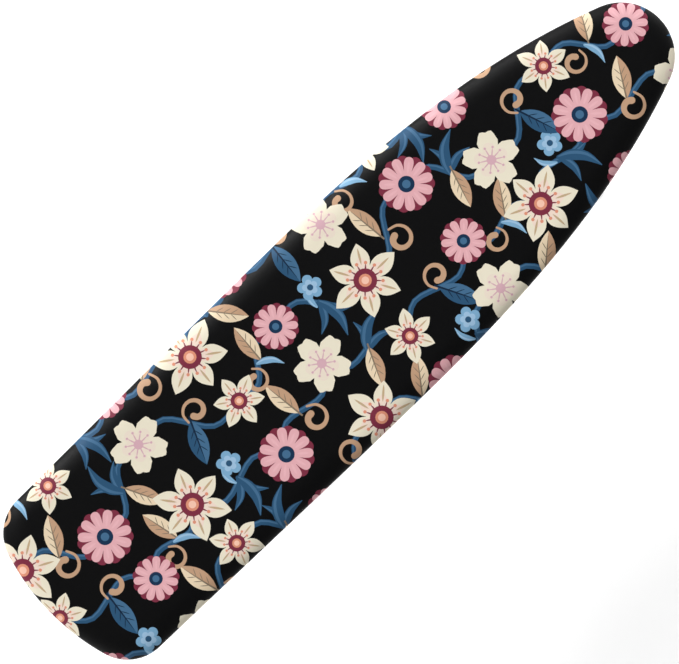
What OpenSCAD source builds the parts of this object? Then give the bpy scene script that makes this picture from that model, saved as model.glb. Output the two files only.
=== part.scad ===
// Folding ironing board: a tapered, padded top on a scissor stand, standing at full height.
// +X points to the nose and +Z up. The origin is on the floor below the middle of the board.
// The height latch is drawn squeezed open, as it is while the stand folds.

/* [Board top] */
// Length of the covered board
board_length = 1372; // [1340:1:1400]
// Greatest width of the covered board
board_width = 342; // [336:1:350]
// Height of the ironing surface above the floor
top_height = 914; // [900:1:925]
// Thickness of the cotton cover
cover_t = 1; // [0.8:0.1:1.2]
// Thickness of the foam pad
pad_t = 9; // [7:0.5:10]
// Width of the soft rounding along the edge
edge_round_w = 38; // [30:1:40]
// Height of the soft rounding along the edge
edge_round_h = 14; // [12:0.5:16]

/* [Frame of the top] */
// Thickness of the mesh sheet
mesh_t = 0.6; // [0.5:0.1:1.2]
// Diameter of the tube round the edge
rim_d = 16; // [14:1:16]
// Height of the cross braces
brace_h = 7; // [6:0.5:8]

/* [Stand] */
// Length of each leg from its top pivot to its foot bar
leg_length = 1180; // [1160:1:1200]
// Distance from a top pivot to the scissor pin
upper_arm = 500; // [490:1:505]
// Diameter of the two outer leg tubes
outer_d = 22; // [20:1:22]
// Diameter of the inner leg tube
inner_d = 28; // [26:1:28]
// Distance of each outer leg tube from the middle plane
outer_y = 40; // [40:1:41]
// Diameter of the foot bars
foot_bar_d = 25; // [22:1:25]
// Length of the foot bar of the outer leg, with its caps
outer_foot_w = 330; // [300:1:334]
// Length of the foot bar of the inner leg, with its caps
inner_foot_w = 300; // [280:1:310]

/* [Height latch] */
// Ironing heights that the notches of the latch give, from the top down
heights = [914, 870, 826, 782, 738, 694];
// Angle that the latch bar is lifted by to free the slider
latch_lift = 0.95; // [0.9:0.01:1]

/* [Hidden] */
$fn = 48;

tube_wall = 1.2;
eps = 1;             // how far a cutting shape reaches past what it cuts
run_fit = 0.1;       // extra diameter of a bore round its pin
half_l = board_length / 2;
half_w = board_width / 2;

// Heights of the layers of the top, from the ironing surface down.
pad_top_z = top_height - cover_t;
mesh_top_z = pad_top_z - pad_t;
frame_z = mesh_top_z - mesh_t;
rim_z = frame_z - rim_d / 2;
brace_z = frame_z - brace_h;
rim_inset = cover_t + rim_d / 2 + 0.3;

// The scissor: both legs reach from the pivot height to the floor at the same angle.
pivot_z = top_height - 48;
foot_z = 15;
pivot_x = 420;
function leg_angle_at(height) = asin((height - top_height + pivot_z - foot_z) / leg_length);
function slider_x_at(angle) = pivot_x - 2 * upper_arm * cos(angle);
leg_angle = leg_angle_at(top_height);
slider_x = slider_x_at(leg_angle);
folded_slider_x = slider_x_at(0);
outer_foot_x = pivot_x - leg_length * cos(leg_angle);
inner_foot_x = slider_x + leg_length * cos(leg_angle);

slider_d = 10;
scissor_d = 10;
pivot_pin_d = 8;
head_d = 24;
head_w = outer_d;
cap_d = 2 * foot_z;

// Slide rails
track_y = 19;
track_t = 2;
track_flange_w = 18;
track_deep_z = pivot_z - 14;
track_high_z = pivot_z + 10;
track_back_x = -612;
track_front_x = 30;
track_step_x = slider_x + 17;
slot_h = slider_d + 0.8;

// Cross braces, from the square end to the nose
brace_xs = [-580, -290, 0, pivot_x, 570];
brace_web_w = 24;
brace_flange_w = 10;
brace_t = 1.5;
rivet_d = 5;
rivet_x = brace_web_w / 2 + brace_flange_w / 2;
rivet_head_t = 2;
track_rivet_y = 30;

// Latch
latch_pin_x = 0;
latch_pin_z = 888;
latch_pin_d = 6;
latch_half_w = 17.5;
latch_t = 1.5;
latch_web_z = -6;
latch_end_x = -648;
grip_overlap = 33;   // how far the grip reaches along the teeth bar
tooth_tip_z = pivot_z - latch_pin_z + 1;
notch_r = slider_d / 2 + 0.3;

// ---- outline of the board -------------------------------------------------------------------

// Point at angle a on a circle of radius r round (cx, 0) or (cx, cy)
function on_arc(cx, cy, r, a) = [cx + r * cos(a), cy + r * sin(a)];
function on_bezier(p, t) =
    pow(1 - t, 3) * p[0] + 3 * pow(1 - t, 2) * t * p[1] + 3 * (1 - t) * t * t * p[2] + pow(t, 3) * p[3];

end_r = 386;         // shallow arc of the square end
corner_r = 75;
nose_r = 87;
nose_a = 70;         // where the nose arc meets the taper
end_c = end_r - half_l;
corner_cy = half_w - 81;
corner_cx = end_c - sqrt(pow(end_r - corner_r, 2) - corner_cy * corner_cy);
corner_a = atan2(corner_cy, corner_cx - end_c);
nose_c = half_l - nose_r;
nose_join = on_arc(nose_c, 0, nose_r, nose_a);
side_start = [corner_cx, corner_cy + corner_r];
side_curve = [side_start, side_start + [200, 2], [-200, half_w], [0, half_w]];
taper_curve = [[0, half_w], [269, half_w], nose_join + 184 * [-sin(nose_a), cos(nose_a)], nose_join];

half_outline = concat(
    [for (i = [0:3]) on_arc(end_c, 0, end_r, 180 - i / 4 * (180 - corner_a))],
    [for (i = [0:4]) on_arc(corner_cx, corner_cy, corner_r, corner_a - i / 5 * (corner_a - 90))],
    [for (i = [0:4]) on_bezier(side_curve, i / 5)],
    [for (i = [0:11]) on_bezier(taper_curve, i / 12)],
    [for (i = [0:8]) on_arc(nose_c, 0, nose_r, nose_a * (1 - i / 8))]);
half_n = len(half_outline);
// The whole outline, clockwise from the middle of the square end over +Y to the nose and back
outline = concat(half_outline, [for (i = [half_n - 2:-1:1]) [half_outline[i][0], -half_outline[i][1]]]);
outline_n = len(outline);
function unit(v) = v / norm(v);
function inward(i) = let (
    along = unit(outline[(i + 1) % outline_n] - outline[(i + outline_n - 1) % outline_n]))
    [along[1], -along[0]];
function inset_point(i, u) = outline[i] + u * inward(i);
function inset_outline(u) = [for (i = [0:outline_n - 1]) inset_point(i, u)];
function half_width_at(x) = lookup(x, half_outline);

// Faces between rings of points: a closed loop of sections, or a stack with two end faces
function ring_faces(rings, n, closed) = [
    for (r = [0:rings - (closed ? 1 : 2)]) for (i = [0:n - 1])
    let (j = (i + 1) % n, s = (r + 1) % rings) each [
        [r * n + i, r * n + j, s * n + j],
        [r * n + i, s * n + j, s * n + i]]];
function end_faces(rings, n) = [
    [for (i = [n - 1:-1:0]) i],
    [for (i = [0:n - 1]) (rings - 1) * n + i]];

// Solid swept round the outline; each profile point is [inset, height]
module sweep_round(profile, closed = true) {
    rings = len(profile);
    points = [for (p = profile) for (i = [0:outline_n - 1])
        concat(inset_point(i, p[0]), p[1])];
    sides = ring_faces(rings, outline_n, closed);
    polyhedron(points, closed ? sides : concat(end_faces(rings, outline_n), sides));
}

// Circle of a swept tube, as a profile
function tube_profile(u, z, r, n) = [for (i = [0:n - 1]) [u + r * cos(360 * i / n), z + r * sin(360 * i / n)]];
// Wall of a roll-formed tube whose open seam of 2 * seam_a degrees faces the middle of the board
function seam_tube_profile(u, z, r, wall, seam_a, n) = let (span = (360 - 2 * seam_a) / n) concat(
    [for (i = [0:n]) let (a = seam_a + i * span) [u + r * cos(a), z + r * sin(a)]],
    [for (i = [n:-1:0]) let (a = seam_a + i * span) [u + (r - wall) * cos(a), z + (r - wall) * sin(a)]]);

// ---- soft top -------------------------------------------------------------------------------

hem_r = 3;
hem_u = 26;
rim_wrap_r = rim_d / 2 + cover_t / 2 + 0.3;
hem_z = rim_z - rim_wrap_r + hem_r;
// Middle line of the cover from the ironing surface, over the edge, to the rolled hem
cover_line = concat(
    [for (i = [0:5]) let (a = 90 - 18 * i) [
        cover_t / 2 + (edge_round_w - cover_t / 2) * (1 - cos(a)),
        top_height - edge_round_h + (edge_round_h - cover_t / 2) * sin(a)]],
    [for (i = [0:3]) let (a = 180 + 30 * i) [rim_inset + rim_wrap_r * cos(a), rim_z + rim_wrap_r * sin(a)]],
    [for (i = [0:4]) let (a = 270 + 67.5 * i) [hem_u + hem_r * cos(a), hem_z + hem_r * sin(a)]]);
function line_normal(p, i) = let (
    a = p[max(i - 1, 0)], b = p[min(i + 1, len(p) - 1)], d = unit(b - a)) [-d[1], d[0]];
function thick_line(p, t) = concat(
    [for (i = [0:len(p) - 1]) p[i] - t / 2 * line_normal(p, i)],
    [for (i = [len(p) - 1:-1:0]) p[i] + t / 2 * line_normal(p, i)]);
cover_profile_raw = thick_line(cover_line, cover_t);
// The first and last points close the flat top, so they keep the exact heights of its two faces.
cover_profile = [for (i = [0:len(cover_profile_raw) - 1]) let (p = cover_profile_raw[i])
    i == 0 ? [edge_round_w, top_height] :
    i == len(cover_profile_raw) - 1 ? [edge_round_w, pad_top_z] : p];

module cover() {
    color("#1d1a20") sweep_round(cover_profile, closed = false);
}

module cover_elastic() {
    color("white") sweep_round(tube_profile(hem_u, hem_z, hem_r - cover_t - 0.1, 6));
}

pad_gap = 0.3;
pad_profile = concat(
    [[cover_t + 3, mesh_top_z]],
    [for (a = [24:11:90]) [
        cover_t + pad_gap + (edge_round_w - cover_t) * (1 - cos(a)),
        top_height - edge_round_h + (edge_round_h - cover_t) * sin(a) - pad_gap * (a < 90 ? 1 : 0)]]);
module foam_pad() {
    color("#f2ead0") sweep_round(
        [for (i = [len(pad_profile) - 1:-1:0]) pad_profile[i]], closed = false);
}

// ---- frame of the top -----------------------------------------------------------------------

module mesh_top() {
    color("silver") translate([0, 0, frame_z]) linear_extrude(mesh_t) polygon(inset_outline(4));
}

module rim_tube() {
    color("silver") sweep_round(seam_tube_profile(rim_inset, rim_z, rim_d / 2, tube_wall, 20, 12));
}

module cross_brace(number) {
    x = brace_xs[number - 1];
    length = 2 * (half_width_at(x) - rim_inset - 4);
    web = brace_web_w / 2;
    foot = web + brace_flange_w;
    hat = [[-foot, 0], [-web, 0], [-web, brace_h - brace_t], [web, brace_h - brace_t], [web, 0], [foot, 0],
        [foot, brace_t], [web + brace_t, brace_t], [web + brace_t, brace_h], [-web - brace_t, brace_h],
        [-web - brace_t, brace_t], [-foot, brace_t]];
    color("silver") translate([x, 0, brace_z]) difference() {
        translate([0, length / 2, 0]) rotate([90, 0, 0]) linear_extrude(length) polygon(hat);
        for (dx = [-rivet_x, rivet_x], y = number == 4 ? [-outer_y, outer_y] : [-track_rivet_y, track_rivet_y])
            if (number != 5) translate([dx, y, -eps]) cylinder(d = rivet_d + run_fit, h = brace_t + 2 * eps);
    }
}

// ---- slide rails ----------------------------------------------------------------------------

// Cylinder across the board, from y0 to y1
module across(x, z, d, y0, y1) {
    translate([x, y1, z]) rotate([90, 0, 0]) cylinder(d = d, h = y1 - y0);
}

module slide_slot(y0, y1) {
    across(slider_x, pivot_z, slot_h, y0, y1);
    across(folded_slider_x, pivot_z, slot_h, y0, y1);
    translate([folded_slider_x, y0, pivot_z - slot_h / 2])
        cube([slider_x - folded_slider_x, y1 - y0, slot_h]);
}

// Rail on the +Y side; the other one is its mirror image.
module track() {
    side = [[track_back_x, track_deep_z], [track_step_x, track_deep_z], [track_step_x + 10, track_high_z],
        [track_front_x, track_high_z], [track_front_x, brace_z], [track_back_x, brace_z]];
    color("silver") difference() {
        union() {
            translate([0, track_y + track_t, 0]) rotate([90, 0, 0]) linear_extrude(track_t) polygon(side);
            translate([track_back_x, track_y, brace_z - track_t])
                cube([track_front_x - track_back_x, track_t + track_flange_w, track_t]);
        }
        slide_slot(track_y - eps, track_y + track_t + eps);
        across(latch_pin_x, latch_pin_z, latch_pin_d + run_fit, track_y - eps, track_y + track_t + eps);
        for (i = [0:2], dx = [-rivet_x, rivet_x])
            translate([brace_xs[i] + dx, track_rivet_y, brace_z - track_t - eps])
                cylinder(d = rivet_d + run_fit, h = track_t + 2 * eps);
    }
}

module track_left() { track(); }
module track_right() { mirror([0, 1, 0]) track(); }

// Rivet that holds a plate of thickness t under a brace flange
module rivet(x, y, t) {
    translate([x, y, brace_z - t]) {
        cylinder(d = rivet_d, h = t + brace_t);
        translate([0, 0, -rivet_head_t]) cylinder(d1 = 6, d2 = 9, h = rivet_head_t);
        translate([0, 0, t + brace_t]) cylinder(d1 = 6.8, d2 = 5.5, h = rivet_head_t);
    }
}

module track_rivets() {
    color("gray") for (i = [0:2], dx = [-rivet_x, rivet_x], y = [-track_rivet_y, track_rivet_y])
        rivet(brace_xs[i] + dx, y, track_t);
}

// ---- pivots of the outer leg ----------------------------------------------------------------

bracket_r = 16;
cheek_t = 2;
cheek_gap = 1.5;
cheek_in = outer_y - head_w / 2 - cheek_gap - cheek_t;
cheek_out = outer_y + head_w / 2 + cheek_gap;

// Bracket on the +Y side, with a cheek on each side of the leg
module pivot_bracket() {
    color("silver") difference() {
        union() {
            for (y = [cheek_in, cheek_out]) {
                across(pivot_x, pivot_z, 2 * bracket_r, y, y + cheek_t);
                translate([pivot_x - bracket_r, y, pivot_z])
                    cube([2 * bracket_r, cheek_t, brace_z - pivot_z]);
            }
            translate([pivot_x - 23, cheek_in, brace_z - cheek_t])
                cube([46, cheek_out + cheek_t - cheek_in, cheek_t]);
        }
        across(pivot_x, pivot_z, pivot_pin_d + run_fit, cheek_in - eps, cheek_out + cheek_t + eps);
        for (dx = [-rivet_x, rivet_x]) translate([pivot_x + dx, outer_y, brace_z - cheek_t - eps])
            cylinder(d = rivet_d + run_fit, h = cheek_t + 2 * eps);
    }
}

module pivot_bracket_left() { pivot_bracket(); }
module pivot_bracket_right() { mirror([0, 1, 0]) pivot_bracket(); }

module bracket_rivets() {
    color("gray") for (dx = [-rivet_x, rivet_x], y = [-outer_y, outer_y]) rivet(pivot_x + dx, y, cheek_t);
}

module pivot_pin() {
    inner_end = cheek_in - 0.1;
    outer_end = cheek_out + cheek_t + 0.1;
    color("gray") {
        across(pivot_x, pivot_z, pivot_pin_d, inner_end - 2, outer_end);
        across(pivot_x, pivot_z, pivot_pin_d + 4, inner_end - 2, inner_end);
        across(pivot_x, pivot_z, pivot_pin_d + 6, outer_end, outer_end + 2.5);
    }
}

module pivot_pin_left() { pivot_pin(); }
module pivot_pin_right() { mirror([0, 1, 0]) pivot_pin(); }

module pivot_washers() {
    washer_t = cheek_gap - 0.3;
    color("white") for (s = [0, 1], y = [cheek_in + cheek_t + 0.15, outer_y + head_w / 2 + 0.15])
        mirror([0, s, 0]) difference() {
            across(pivot_x, pivot_z, 20, y, y + washer_t);
            across(pivot_x, pivot_z, pivot_pin_d + 0.4, y - eps, y + washer_t + eps);
        }
}

// ---- height latch ---------------------------------------------------------------------------

module at_latch() {
    translate([latch_pin_x, 0, latch_pin_z]) rotate([0, latch_lift, 0]) children();
}

// A toothed channel with one notch for each height and one for storage
module latch_bar() {
    low = latch_web_z - latch_t;
    teeth_x = slider_x + 22;
    hook_x = -596;
    hook_z = -28;
    side = [[latch_end_x, low + 0.5], [latch_end_x, hook_z], [latch_end_x + grip_overlap, hook_z], [hook_x, tooth_tip_z],
        [teeth_x, tooth_tip_z], [teeth_x + 8, -10], [-8, -10], [-8, low + 0.5]];
    color("gray") at_latch() difference() {
        union() {
            for (y = [-latch_half_w, latch_half_w - latch_t])
                translate([0, y + latch_t, 0]) rotate([90, 0, 0]) linear_extrude(latch_t) polygon(side);
            translate([latch_end_x, -latch_half_w, low]) cube([-latch_end_x + 5, 2 * latch_half_w, latch_t]);
            across(0, 0, 10, -15, 5);
            translate([-5, -15, low]) cube([10, 20, 5]);
        }
        across(0, 0, latch_pin_d + run_fit, -20, 20);
        for (h = heights) across(slider_x_at(leg_angle_at(h)) - latch_pin_x, pivot_z - latch_pin_z,
            2 * notch_r, -20, 20);
        across(folded_slider_x - latch_pin_x, pivot_z - latch_pin_z, 2 * notch_r, -20, 20);
    }
}

module latch_grip() {
    back_x = latch_end_x - 26;
    front_x = latch_end_x + grip_overlap;
    half = 24;
    low = -34;
    high = -20;
    round_r = 8;
    color("#26262a") at_latch() difference() {
        union() {
            translate([back_x, -half + round_r, low]) cube([front_x - back_x, 2 * (half - round_r), high - low]);
            translate([back_x + round_r, -half, low])
                cube([front_x - back_x - 2 * round_r, 2 * half, high - low]);
            for (x = [back_x + round_r, front_x - round_r], y = [-half + round_r, half - round_r])
                translate([x, y, low]) cylinder(r = round_r, h = high - low);
        }
        for (y = [-latch_half_w, latch_half_w - latch_t])
            translate([latch_end_x - 0.1, y - 0.1, -28.1]) cube([grip_overlap + eps, latch_t + 0.2, 9]);
    }
}

module latch_pin() {
    end = track_y + track_t + 0.1;
    color("gray") {
        across(latch_pin_x, latch_pin_z, latch_pin_d, -end, end);
        for (y = [-end - 2, end]) across(latch_pin_x, latch_pin_z, latch_pin_d + 4, y, y + 2);
    }
}

spring_wire = 1.2;
spring_r = 4.6;
spring_turns = 5;
spring_steps = 12;
spring_sides = 6;
module latch_spring() {
    count = spring_turns * spring_steps;
    pitch = 1.6;
    start_y = 6.5;
    points = [for (i = [0:count]) for (k = [0:spring_sides - 1])
        let (a = 360 * i / spring_steps, b = 360 * k / spring_sides,
            r = spring_r + spring_wire / 2 * cos(b))
        [latch_pin_x + r * cos(a), start_y + pitch * i / spring_steps + spring_wire / 2 * sin(b),
            latch_pin_z + r * sin(a)]];
    color("silver") polyhedron(points,
        concat(end_faces(count + 1, spring_sides), ring_faces(count + 1, spring_sides, false)));
}

// ---- legs -----------------------------------------------------------------------------------

// Outer leg: origin at its pivot, the leg runs along -X. Inner leg: origin at its slider, along +X.
module at_outer_leg() { translate([pivot_x, 0, pivot_z]) rotate([0, -leg_angle, 0]) children(); }
module at_inner_leg() { translate([slider_x, 0, pivot_z]) rotate([0, leg_angle, 0]) children(); }

module leg_tube(d, direction, head, y) {
    start = direction > 0 ? 0 : -leg_length;
    difference() {
        translate([start, y, 0]) rotate([0, 90, 0]) cylinder(d = d, h = leg_length);
        translate([start - eps, y, 0]) rotate([0, 90, 0])
            cylinder(d = d - 2 * tube_wall, h = leg_length + 2 * eps);
        across(0, 0, head + 0.1, y - d, y + d);
        across(direction * leg_length, 0, foot_bar_d + 0.1, y - d, y + d);
    }
}

module outer_tube(y) {
    color("#d9dadc") at_outer_leg() difference() {
        leg_tube(outer_d, -1, head_d, y);
        across(-upper_arm, 0, scissor_d + run_fit, y - outer_d, y + outer_d);
    }
}
module outer_tube_left() { outer_tube(outer_y); }
module outer_tube_right() { outer_tube(-outer_y); }

module outer_head(y) {
    color("#d9dadc") difference() {
        across(pivot_x, pivot_z, head_d, y - head_w / 2, y + head_w / 2);
        across(pivot_x, pivot_z, pivot_pin_d + run_fit, y - head_w, y + head_w);
    }
}
module outer_head_left() { outer_head(outer_y); }
module outer_head_right() { outer_head(-outer_y); }

cap_grip = 24;       // how far a foot cap covers its bar
cap_wall = 4;
module foot_bar(x, width) {
    end = width / 2 - cap_wall;
    color("#d9dadc") difference() {
        across(x, foot_z, foot_bar_d, -end, end);
        across(x, foot_z, foot_bar_d - 2 * tube_wall, -end - eps, end + eps);
    }
}

// Cap on the +Y end of a foot bar, with a flat pad to stand on
module foot_cap(x, width) {
    end = width / 2;
    chamfer = 3;
    color("#26262a") difference() {
        union() {
            across(x, foot_z, cap_d, end - cap_wall - cap_grip, end - chamfer);
            translate([x, end, foot_z]) rotate([90, 0, 0]) cylinder(d1 = cap_d - 2 * chamfer, d2 = cap_d, h = chamfer);
            translate([x - 9, end - cap_wall - cap_grip, 0]) cube([18, cap_grip + cap_wall - chamfer, 5]);
        }
        across(x, foot_z, foot_bar_d + run_fit, end - cap_wall - cap_grip - eps, end - cap_wall);
    }
}

module outer_foot_bar() { foot_bar(outer_foot_x, outer_foot_w); }
module outer_foot_cap_left() { foot_cap(outer_foot_x, outer_foot_w); }
module outer_foot_cap_right() { mirror([0, 1, 0]) foot_cap(outer_foot_x, outer_foot_w); }

pin_half = outer_y + outer_d / 2 + 4;
module scissor_pin() {
    color("gray") at_outer_leg() across(-upper_arm, 0, scissor_d, -pin_half, pin_half);
}

module scissor_spacers() {
    from_y = inner_d / 2 + 0.4;
    to_y = outer_y - outer_d / 2 - 0.2;
    color("white") at_outer_leg() for (s = [0, 1]) mirror([0, s, 0]) difference() {
        across(-upper_arm, 0, 16, from_y, to_y);
        across(-upper_arm, 0, scissor_d + 0.2, from_y - eps, to_y + eps);
    }
}

module scissor_cap_nuts() {
    seat = outer_y + outer_d / 2 + 0.1;
    nut_d = 18;
    nut_h = 7;
    dome_r = 12;
    color("silver") at_outer_leg() for (s = [0, 1]) mirror([0, s, 0])
        translate([-upper_arm, seat, 0]) rotate([-90, 0, 0]) difference() {
            intersection() {
                cylinder(d = nut_d, h = nut_h + eps);
                translate([0, 0, nut_h - dome_r]) sphere(r = dome_r);
            }
            translate([0, 0, -eps]) cylinder(d = scissor_d + run_fit, h = eps + 4);
        }
}

module inner_tube() {
    color("#d9dadc") at_inner_leg() difference() {
        leg_tube(inner_d, 1, inner_d, 0);
        across(upper_arm, 0, scissor_d + 4, -inner_d, inner_d);
    }
}

module inner_head() {
    color("#d9dadc") difference() {
        across(slider_x, pivot_z, inner_d, -inner_d / 2, inner_d / 2);
        across(slider_x, pivot_z, slider_d + run_fit, -inner_d, inner_d);
    }
}

slider_half = 26;
module slider_bar() {
    color("gray") across(slider_x, pivot_z, slider_d, -slider_half, slider_half);
}

module slider_clips() {
    color("silver") for (s = [0, 1]) mirror([0, s, 0]) difference() {
        across(slider_x, pivot_z, 17, track_y + track_t + 0.5, track_y + track_t + 2);
        across(slider_x, pivot_z, slider_d + run_fit, track_y, slider_half);
    }
}

module scissor_bush() {
    color("white") at_inner_leg() difference() {
        across(upper_arm, 0, scissor_d + 4 - run_fit, -inner_d / 2, inner_d / 2);
        across(upper_arm, 0, scissor_d + run_fit, -inner_d, inner_d);
    }
}

module inner_foot_bar() { foot_bar(inner_foot_x, inner_foot_w); }
module inner_foot_cap_left() { foot_cap(inner_foot_x, inner_foot_w); }
module inner_foot_cap_right() { mirror([0, 1, 0]) foot_cap(inner_foot_x, inner_foot_w); }

cover();
cover_elastic();
foam_pad();
mesh_top();
rim_tube();
cross_brace(1);  // cross_brace_1
cross_brace(2);  // cross_brace_2
cross_brace(3);  // cross_brace_3
cross_brace(4);  // cross_brace_4
cross_brace(5);  // cross_brace_5
track_left();
track_right();
track_rivets();
pivot_bracket_left();
pivot_bracket_right();
bracket_rivets();
pivot_pin_left();
pivot_pin_right();
pivot_washers();
latch_bar();
latch_grip();
latch_pin();
latch_spring();
outer_tube_left();
outer_tube_right();
outer_head_left();
outer_head_right();
outer_foot_bar();
outer_foot_cap_left();
outer_foot_cap_right();
scissor_pin();
scissor_spacers();
scissor_cap_nuts();
inner_tube();
inner_head();
slider_bar();
slider_clips();
scissor_bush();
inner_foot_bar();
inner_foot_cap_left();
inner_foot_cap_right();
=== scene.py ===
"""Looks of the folding ironing board: printed cotton cover, felt pad, mesh top and steel scissor stand.

Lengths are in millimetres until they reach a mesh. +X is the nose of the board, +Z is up.
"""
import math

import bpy
import numpy as np
from mathutils import Matrix, Vector
from mathutils.geometry import delaunay_2d_cdt


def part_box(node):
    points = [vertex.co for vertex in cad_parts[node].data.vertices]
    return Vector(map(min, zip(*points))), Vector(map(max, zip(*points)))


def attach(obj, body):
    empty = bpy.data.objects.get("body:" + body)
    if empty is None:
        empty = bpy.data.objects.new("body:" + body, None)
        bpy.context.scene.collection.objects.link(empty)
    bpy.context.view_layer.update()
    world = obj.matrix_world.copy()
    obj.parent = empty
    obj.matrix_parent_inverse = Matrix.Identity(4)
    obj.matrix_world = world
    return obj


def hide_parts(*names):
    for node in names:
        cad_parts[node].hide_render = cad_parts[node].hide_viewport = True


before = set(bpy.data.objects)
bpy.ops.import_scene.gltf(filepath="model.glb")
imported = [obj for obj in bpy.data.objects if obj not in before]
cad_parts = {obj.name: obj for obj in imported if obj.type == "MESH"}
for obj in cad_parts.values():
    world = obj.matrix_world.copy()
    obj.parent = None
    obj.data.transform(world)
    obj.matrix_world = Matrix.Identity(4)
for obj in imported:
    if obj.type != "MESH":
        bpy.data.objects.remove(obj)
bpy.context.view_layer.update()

MM = 0.001
cover_low, cover_high = [[c / MM for c in corner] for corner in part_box("cover")]
HALF_L = (cover_high[0] - cover_low[0]) / 2
HALF_W = (cover_high[1] - cover_low[1]) / 2
TOP_Z = cover_high[2]
FRAME_TOP_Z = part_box("mesh_top")[1][2] / MM


# ---- camera ---------------------------------------------------------------------------------

def make_camera():
    """Looks straight down on the board, which lies across the picture from lower left to upper right."""
    tilt = math.radians(44.15)       # angle between the board and the picture's width
    right = Vector((math.cos(tilt), -math.sin(tilt), 0))
    up = Vector((math.sin(tilt), math.cos(tilt), 0))
    distance = 3200
    seen_width = 1090                # width of the picture at the ironing surface
    centre_x, centre_y = -36.4, -2.7
    data = bpy.data.cameras.new("camera")
    data.sensor_width = 36
    data.lens = data.sensor_width * distance / seen_width
    data.clip_end = 50
    camera = bpy.data.objects.new("camera", data)
    turn = Matrix((right, up, right.cross(up))).transposed().to_4x4()
    place = Vector((centre_x, centre_y, TOP_Z + distance)) * MM
    camera.matrix_world = Matrix.Translation(place) @ turn
    bpy.context.collection.objects.link(camera)
    bpy.context.scene.camera = camera


make_camera()


# ---- materials ------------------------------------------------------------------------------

def linear(hex_colour):
    """An sRGB colour such as "F0E8D2" as linear red, green, blue and alpha."""
    channels = [int(hex_colour[i:i + 2], 16) / 255 for i in (0, 2, 4)]
    return [c / 12.92 if c <= 0.04045 else ((c + 0.055) / 1.055) ** 2.4 for c in channels] + [1]


def new_material(name, colour, roughness=0.5, metallic=0.0, **sockets):
    """A Principled material with its uniform values set on the sockets.

    Returns the material, its nodes, its links and its shader.
    """
    material = bpy.data.materials.new(name)
    material.use_nodes = True
    nodes, links = material.node_tree.nodes, material.node_tree.links
    shader = nodes["Principled BSDF"]
    shader.inputs["Base Color"].default_value = linear(colour)
    shader.inputs["Roughness"].default_value = roughness
    shader.inputs["Metallic"].default_value = metallic
    for socket, value in sockets.items():
        shader.inputs[socket.replace("_", " ")].default_value = value
    return material, nodes, links, shader


def node(nodes, kind, links=None, sources=None, **settings):
    """Adds a node, sets its values, and links its inputs: sources maps input names to output sockets."""
    made = nodes.new(kind)
    for key, value in settings.items():
        if hasattr(made, key):
            setattr(made, key, value)
        else:
            made.inputs[key].default_value = value
    for name, output in (sources or {}).items():
        links.new(output, made.inputs[name])
    return made


def math_node(nodes, links, operation, a, b=0.0):
    """A math node whose two inputs are sockets or numbers."""
    made = nodes.new("ShaderNodeMath")
    made.operation = operation
    for slot, value in enumerate((a, b)):
        if hasattr(value, "links"):
            links.new(value, made.inputs[slot])
        else:
            made.inputs[slot].default_value = value
    return made.outputs[0]


def ramp_node(nodes, links, factor, stops):
    """A colour ramp; stops are (position, grey value or colour)."""
    made = nodes.new("ShaderNodeValToRGB")
    elements = made.color_ramp.elements
    while len(elements) < len(stops):
        elements.new(0.5)
    for element, (position, value) in zip(elements, stops):
        element.position = position
        element.color = value if isinstance(value, list) else (value, value, value, 1)
    links.new(factor, made.inputs[0])
    return made.outputs[0]


def set_bump(nodes, links, shader, height, distance, strength):
    """Bump from a height; distance is in millimetres."""
    bump = nodes.new("ShaderNodeBump")
    bump.inputs["Strength"].default_value = strength
    bump.inputs["Distance"].default_value = distance * MM
    links.new(height, bump.inputs["Height"])
    links.new(bump.outputs[0], shader.inputs["Normal"])


THREAD = 0.55        # spacing of the cotton threads, enlarged a little so that it still shows


def cotton(name, colour):
    """Plain-woven cotton: crossed threads and slubs, and the slight unevenness of the pad below."""
    roughness = 0.44
    material, nodes, links, shader = new_material(
        name, colour, roughness, Sheen_Weight=0.02, Sheen_Roughness=0.5, Specular_IOR_Level=0.12)
    place = node(nodes, "ShaderNodeTexCoord").outputs["Object"]
    axes = node(nodes, "ShaderNodeSeparateXYZ", links, {0: place}).outputs
    turns = 2 * math.pi / (THREAD * MM)
    warp = math_node(nodes, links, "SINE", math_node(nodes, links, "MULTIPLY", axes[0], turns))
    side = math_node(nodes, links, "ADD", axes[1], axes[2])
    weft = math_node(nodes, links, "SINE", math_node(nodes, links, "MULTIPLY", side, turns))
    weave = math_node(nodes, links, "MULTIPLY", warp, weft)
    slub = node(nodes, "ShaderNodeTexNoise", links, {"Vector": place}, Scale=420, Detail=3).outputs["Fac"]
    quilt = node(nodes, "ShaderNodeTexNoise", links, {"Vector": place}, Scale=14, Detail=2).outputs["Fac"]
    fine = math_node(nodes, links, "ADD", math_node(nodes, links, "MULTIPLY", weave, 0.12),
                     math_node(nodes, links, "MULTIPLY", slub, 0.3))
    height = math_node(nodes, links, "ADD", fine, math_node(nodes, links, "MULTIPLY", quilt, 3.0))
    set_bump(nodes, links, shader, height, 0.25, 0.6)
    low, high = roughness - 0.07, roughness + 0.09
    links.new(ramp_node(nodes, links, slub, [(0.3, low), (0.7, high)]), shader.inputs["Roughness"])
    return material


INKS = {
    "ground": "070708", "ivory": "EBE3CD", "vein": "C3A986", "petal": "EFDACB", "maroon": "7D3043",
    "orange": "DE9377", "glow": "F6C6AF", "pink": "E4AEB4", "rose": "D6ACB6", "navy": "193350",
    "blue": "2D5475", "slate": "446C8E", "sky": "7DAACB", "scroll": "C29D7F", "olive": "857562",
    "night": "13263C", "almond": "E9D5B6", "mist": "9DBFDB", "blush": "EBDDCC", "shell": "E9B5BB"}


# ---- outline of the board and section of the cover ------------------------------------------

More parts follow.
